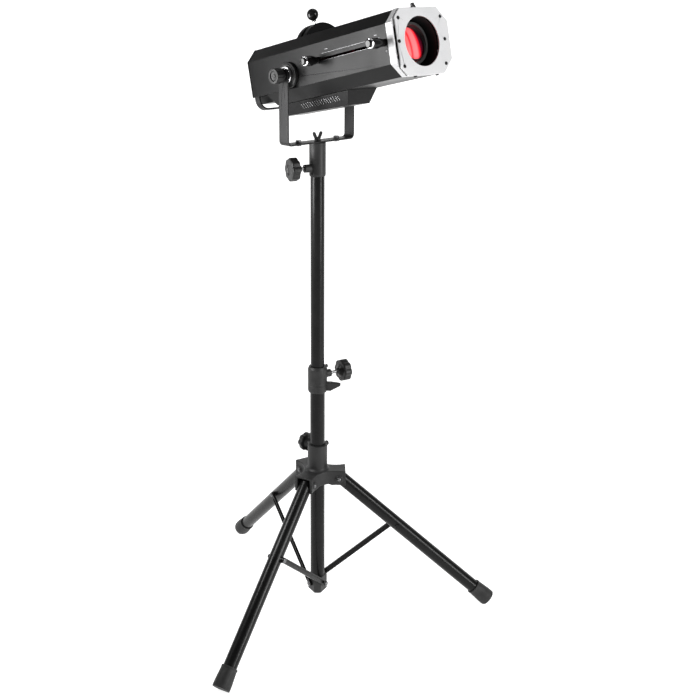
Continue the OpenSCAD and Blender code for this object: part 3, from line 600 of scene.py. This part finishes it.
# ---------------------------------------------------------------- zoom and focus knobs
KNOB_ROOT = -88.7
SLOT_Z = 16
for name, y in (("zoom_knob", -105), ("focus_knob", -318)):
    place = on_head(KNOB_ROOT, y, SLOT_Z, HEAD.to_3x3() @ Vector((NEAR, 0, 0)))

    def knurled(angle, r, z):
        return r - (0.35 * (0.5 + 0.5 * math.cos(36 * angle)) if 22 < z < 37 and r > 11 else 0)

    turned(name + "_grip", place, [
        (0, -2, 0), (7.4, 0, 0.3), (8, 0.6, 0.4), (8, 4.4, 0.5), (6.4, 5, 0.3), (6.4, 6, 0.3), (8, 6.6, 0.6),
        (9.6, 13, 5), (11.5, 21, 0.5), (11.5, 38, 0.5), (11, 39, 0.3), (8.6, 39, 0.2), (8.6, 43.4, 0.2),
        (9.4, 43.4, 0.3), (9.2, 46.4, 1.4), (7, 48, 1), (0, 48, 0)],
        "knob_plastic", node_body[name], [name], POLISHED, segments=144, shape=knurled, steps=6)
    turned(name + "_cap", place, [
        (8.7, 39.1, 0), (10.9, 39.1, 0.5), (10.2, 43.3, 0.5), (8.7, 43.3, 0), (8.7, 39.1, 0)],
        "bright_steel", node_body[name], segments=72, steps=6)
    turned(name + "_screw", place, [(0, -17, 0), (2.45, -17, 0.4), (2.45, -2, 0), (0, -2, 0)],
           "bolt_steel", node_body[name], segments=24)

# ---------------------------------------------------------------- screws of the lamp head
BODY_Z, FRONT_Y, REAR_Y = 11.5, -347.6, 149.3
ahead, behind = forward, -forward


def shank(bm, place, radius, length):
    lathe(bm, place, [(0, 0.2, 0), (radius, 0.2, 0), (radius, -length, 0.3), (0, -length, 0)], segments=20)


PLATE_SCREW_R, PLATE_SCREW_T, PLATE_SHANK_R = 4, 1.9, 1.55
CORNER_SCREW_X, CORNER_SCREW_Z, CORNER_SHANK = 66, 51, 8
MID_SCREW_X, MID_SCREW_UP, MID_SHANK = 72, 2, 2.9
COLLAR_SCREW_Y, COLLAR_HALF = -336, 72
plate_screws = bmesh.new()
for x in (-CORNER_SCREW_X, CORNER_SCREW_X):
    for z in (-CORNER_SCREW_Z, CORNER_SCREW_Z):
        place = on_head(x, FRONT_Y, BODY_Z + z, ahead, math.radians(17 + x + z))
        pan_head(plate_screws, place, PLATE_SCREW_R, PLATE_SCREW_T)
        shank(plate_screws, place, PLATE_SHANK_R, CORNER_SHANK)
for x in (-MID_SCREW_X, MID_SCREW_X):
    place = on_head(x, FRONT_Y, BODY_Z + MID_SCREW_UP, ahead, math.radians(40 + x))
    pan_head(plate_screws, place, PLATE_SCREW_R, PLATE_SCREW_T)
    shank(plate_screws, place, PLATE_SHANK_R, MID_SHANK)
for x in (-25, 45):
    place = on_head(x, COLLAR_SCREW_Y, BODY_Z - COLLAR_HALF, -head_up, 0.4)
    pan_head(plate_screws, place, PLATE_SCREW_R, 2.6)
finish_mesh("plate_screw_set", plate_screws, "dark_steel", "head", 40, ["front_screws"])

SHELL_SCREW_R, SHELL_SCREW_T = 3.1, 1.6
SIDE_SCREW_Y, SIDE_SCREW_Z = -323, -2
REAR_SCREW_X, REAR_SCREW_UP = 58, 55
shell_screws = bmesh.new()
for side in (-1, 1):
    place = on_head(side * BODY_HALF, SIDE_SCREW_Y, SIDE_SCREW_Z, Vector((side, 0, 0)), 0.3)
    pan_head(shell_screws, place, SHELL_SCREW_R, SHELL_SCREW_T)
for x in (-REAR_SCREW_X, REAR_SCREW_X):
    place = on_head(x, REAR_Y, BODY_Z + REAR_SCREW_UP, behind, 0.5 * x)
    pan_head(shell_screws, place, SHELL_SCREW_R, SHELL_SCREW_T)
finish_mesh("shell_screw_set", shell_screws, "bolt_steel", "head", 40)

# ---------------------------------------------------------------- slot's rail and scale


def strip(bm, low, high):
    """A block between two corners given in millimetres in the lamp head's frame."""
    corners = [bm.verts.new(HEAD @ (Vector((x, y, z)) * MM))
               for z in (low[2], high[2])
               for x, y in ((low[0], low[1]), (high[0], low[1]), (high[0], high[1]), (low[0], high[1]))]
    bm.faces.new(corners[:4])
    bm.faces.new(corners[4:])
    for k in range(4):
        bm.faces.new((corners[k], corners[(k + 1) % 4], corners[4 + (k + 1) % 4], corners[4 + k]))


RAIL_FRONT, RAIL_REAR, RAIL_LOW, RAIL_TOP, RAIL_IN = -323.8, -97.2, 13.02, 13.5, -86.1
rail = bmesh.new()
strip(rail, (-BODY_HALF - 0.1, RAIL_FRONT, RAIL_LOW), (RAIL_IN, RAIL_REAR, RAIL_TOP))
finish_mesh("slot_rail", rail, "bolt_steel", "head")

MARK_OUT, MARK_IN = -BODY_HALF - 0.12, -BODY_HALF + 0.1
MARK_LOW, MARK_TOP = 35.6, 36.8
LINE_FRONT, LINE_REAR, LINE_LOW, LINE_TOP = -306, -120, 28.8, 29.3
scale_marks = bmesh.new()
for y, width in ((-136, 9), (-295, 8)):
    strip(scale_marks, (MARK_OUT, y - width / 2, MARK_LOW), (MARK_IN, y + width / 2, MARK_TOP))
strip(scale_marks, (MARK_OUT, LINE_FRONT, LINE_LOW), (MARK_IN, LINE_REAR, LINE_TOP))
finish_mesh("scale_mark_set", scale_marks, "bolt_steel", "head")

# ---------------------------------------------------------------- lips of the driver box's vents
VENT_COUNT, VENT_FIRST, VENT_PITCH = 17, 24, 8
VENT_Z, VENT_LEAN, VENT_HALF = -72.5, math.radians(20), 6.2
BOX_TOP_HALF, BOX_TOP_Z = 46.7, -59.5
BOX_LEAN = 12.1 / 32.9   # how far the box's side comes in for each millimetre down
LIP_SECTION = ((-0.3, 0), (0.35, 0.15), (0.35, 0.75), (-0.3, 0.9))

lips = bmesh.new()
for side in (-1, 1):
    for k in range(VENT_COUNT):
        ends = []
        for reach in (-VENT_HALF, VENT_HALF):
            y = VENT_FIRST - k * VENT_PITCH - 1.5 + reach * math.sin(VENT_LEAN)
            z = VENT_Z + reach * math.cos(VENT_LEAN)
            x = side * (BOX_TOP_HALF - (BOX_TOP_Z - z) * BOX_LEAN)
            ends.append([lips.verts.new(HEAD @ (Vector((x + dx * side, y + dy, z)) * MM))
                         for dx, dy in LIP_SECTION])
        bridge(lips, *ends)
        for end in ends:
            lips.faces.new(end)
finish_mesh("vent_edge_set", lips, "bare_aluminium", "head")

# ---------------------------------------------------------------- gate thumb screw
screw_seat = on_head(0, COLLAR_SCREW_Y, BODY_Z + COLLAR_HALF - 8, head_up)


def milled(angle, r, z):
    return r - (0.5 * (0.5 + 0.5 * math.cos(28 * angle)) if 9 < z < 13 and r > 5 else 0)


turned("thumb_screw_turned", screw_seat, [
    (0, 0, 0), (1.95, 0, 0.3), (1.95, 8.4, 0), (5.6, 8.4, 0.4), (6, 9.2, 0.3), (6, 12.8, 0.3),
    (5.4, 13.4, 0.4), (4.6, 13.8, 0.3), (4.6, 19.6, 0.8), (1.6, 20.3, 0.4), (0, 20.3, 0)],
    "bolt_steel", "gate_screw", ["thumb_screw"], segments=112, shape=milled)

# ---------------------------------------------------------------- colour lever and wheel
WHEEL_Y, WHEEL_Z, WHEEL_R, BALL_AT, BALL_R, LEVER_TILT = -25, 44, 61, 90, 14, 7
lever = HEAD @ Matrix.Translation(Vector((0, WHEEL_Y, WHEEL_Z)) * MM) @ Matrix.Rotation(
    math.radians(-LEVER_TILT), 4, "Y")
ball_foot = BALL_AT - BALL_R
ferrule = [(2.3, ball_foot - 2.5, 0), (4.6, ball_foot - 2.5, 0.5), (5, ball_foot + 0.6, 0.6)]
ball = [(BALL_R * math.sin(math.radians(a)), BALL_AT - BALL_R * math.cos(math.radians(a)), 0)
        for a in range(28, 180, 4)]
turned("lever_ball", lever, ferrule + ball + [(0, BALL_AT + BALL_R, 0)], "knob_plastic", "wheel",
       material=POLISHED, segments=96)
turned("lever_rod", lever, [
    (0, WHEEL_R - 8, 0), (3.3, WHEEL_R - 8, 0.4), (3.3, WHEEL_R - 2, 0.5), (2.3, WHEEL_R - 1.4, 0.3),
    (2.3, ball_foot, 0), (0, ball_foot, 0)], "bright_steel", "wheel", segments=32)
wheel = bmesh.new()
wheel.from_mesh(nodes["colour_wheel"].data)
bmesh.ops.remove_doubles(wheel, verts=wheel.verts, dist=0.00001)
rim = lever @ Vector((0, 0, (WHEEL_R + 0.3) * MM))
bmesh.ops.bisect_plane(wheel, geom=wheel.verts[:] + wheel.edges[:] + wheel.faces[:], plane_co=rim,
                       plane_no=lever.to_3x3() @ Vector((0, 0, 1)), clear_outer=True)
bmesh.ops.holes_fill(wheel, edges=[e for e in wheel.edges if e.is_boundary], sides=0)
finish_mesh("wheel_disc", wheel, "dark_steel", "wheel", replaces=["colour_wheel"])

# ---------------------------------------------------------------- lenses
FOCUS_LENS_Y, ZOOM_LENS_Y = -308, -105


def lens_profile(radius, edge, crown):
    """Half the section of a biconvex lens: its edge thickness, and the rise of each face."""
    ball = (radius ** 2 + crown ** 2) / (2 * crown)
    front = [(radius * k / 24, edge / 2 + math.sqrt(ball ** 2 - (radius * k / 24) ** 2) - ball + crown, 0)
             for k in range(25)]
    return front + [(r, -z, 0) for r, z, _ in reversed(front)]


FOCUS_LENS_R, ZOOM_LENS_R, LENS_EDGE = 39.9, 43.9, 4
# Painted light: stops of red glow across the focusing lens, with dark bands of painted reflection and a dark end.
PAINTED_RED_GLOW = [(0.20, (0.85, 0.05, 0.05)), (0.34, (0.95, 0.12, 0.12)), (0.41, (0.55, 0.006, 0.014)),
             (0.48, (0.95, 0.13, 0.14)), (0.62, (1.0, 0.15, 0.16)), (0.72, (0.75, 0.01, 0.02)),
             (0.82, (0.06, 0.002, 0.010))]
focus_place = on_head(0, FOCUS_LENS_Y, BODY_Z, ahead)
painted_glow_material = painted_glow_lens("painted_glow_lens", focus_place.translation, FOCUS_LENS_R * MM, PAINTED_RED_GLOW)
turned("focus_lens_glass", focus_place, lens_profile(FOCUS_LENS_R, LENS_EDGE, 8),
       "lens_glass", "focus", ["focus_lens"], material=painted_glow_material, segments=96)
turned("zoom_lens_glass", on_head(0, ZOOM_LENS_Y, BODY_Z, ahead), lens_profile(ZOOM_LENS_R, LENS_EDGE, 7),
       "lens_glass", "zoom", ["zoom_lens"], segments=96)

turned("lens_retaining_ring", focus_place, [
    (38.4, 2.4, 0), (39.9, 2.4, 0.1), (39.9, 8.5, 0.3), (37.8, 8.5, 0.4), (37.2, 7.6, 0.3), (38.4, 2.4, 0)],
    "dark_steel", "focus", segments=96)

# ---------------------------------------------------------------- stage and light
SWEEP_FRONT, SWEEP_BACK, SWEEP_RADIUS, SWEEP_TOP, SWEEP_HALF = 6.0, 3.2, 1.2, 2.6, 6.0
SWEEP_STEPS = 16
WHITE = 0.92
WORLD_LIGHT = 0.14


def studio_white(name):
    """White paper that is lit evenly from behind."""
    s = Shader(name, Roughness=0.9, Specular_IOR_Level=0.1,
               Emission_Color=(1, 1, 1, 1), Emission_Strength=WHITE)
    s.colours(s.noise(0.5), [(0.3, grey(0.60)), (0.7, grey(0.62))])
    return s.material


def paper_sweep():
    """White paper: floor, curve and wall, the wall opposite the camera."""
    profile = [(-SWEEP_FRONT, 0), (SWEEP_BACK - SWEEP_RADIUS, 0)]
    for k in range(1, SWEEP_STEPS + 1):
        turn = math.pi / 2 * k / SWEEP_STEPS
        profile.append((SWEEP_BACK - SWEEP_RADIUS * (1 - math.sin(turn)),
                        SWEEP_RADIUS * (1 - math.cos(turn))))
    profile.append((SWEEP_BACK, SWEEP_TOP))
    across = Vector((-away.y, away.x, 0))
    bm = bmesh.new()
    rows = [[bm.verts.new(-away * along + Vector((0, 0, height)) + across * side * SWEEP_HALF)
             for side in (-1, 1)] for along, height in profile]
    for low, high in zip(rows, rows[1:]):
        bm.faces.new((low[0], low[1], high[1], high[0]))
    mesh = bpy.data.meshes.new("paper_sweep")
    bm.to_mesh(mesh)
    bm.free()
    mesh.shade_smooth()
    mesh.materials.append(studio_white("studio_white"))
    paper = link(bpy.data.objects.new("paper_sweep", mesh))


paper_sweep()


def softbox(name, azimuth, elevation, distance, width, height, power, target=0.9):
    """An area light aimed at the stand, at an azimuth counted from the camera's side."""
    heading = CAMERA_AZIMUTH + math.radians(azimuth)
    up = math.radians(elevation)
    place = Vector((math.cos(heading) * math.cos(up), math.sin(heading) * math.cos(up), math.sin(up)))
    data = bpy.data.lights.new(name, "AREA")
    data.shape = "RECTANGLE"
    data.size, data.size_y, data.energy = width, height, power
    lamp = link(bpy.data.objects.new(name, data))
    lamp.location = Vector((0, 0, target)) + place * distance
    lamp.rotation_mode = "QUATERNION"
    lamp.rotation_quaternion = place.to_track_quat("Z", "Y")


softbox("overhead", 150, 70, 3.0, 2.0, 2.0, 6)
softbox("right_front", 58, 12, 2.6, 0.5, 2.4, 60)
softbox("left_side", -82, 14, 2.6, 0.9, 2.0, 6, 1.3)
softbox("side_glow", -72, -4, 0.85, 0.42, 0.7, 15, 1.34)

world = bpy.data.worlds.new("studio")
bpy.context.scene.world = world
world.use_nodes = True
background = world.node_tree.nodes["Background"]
background.inputs["Color"].default_value = (1, 1, 1, 1)
background.inputs["Strength"].default_value = WORLD_LIGHT
bpy.context.scene.view_settings.view_transform = "Standard"
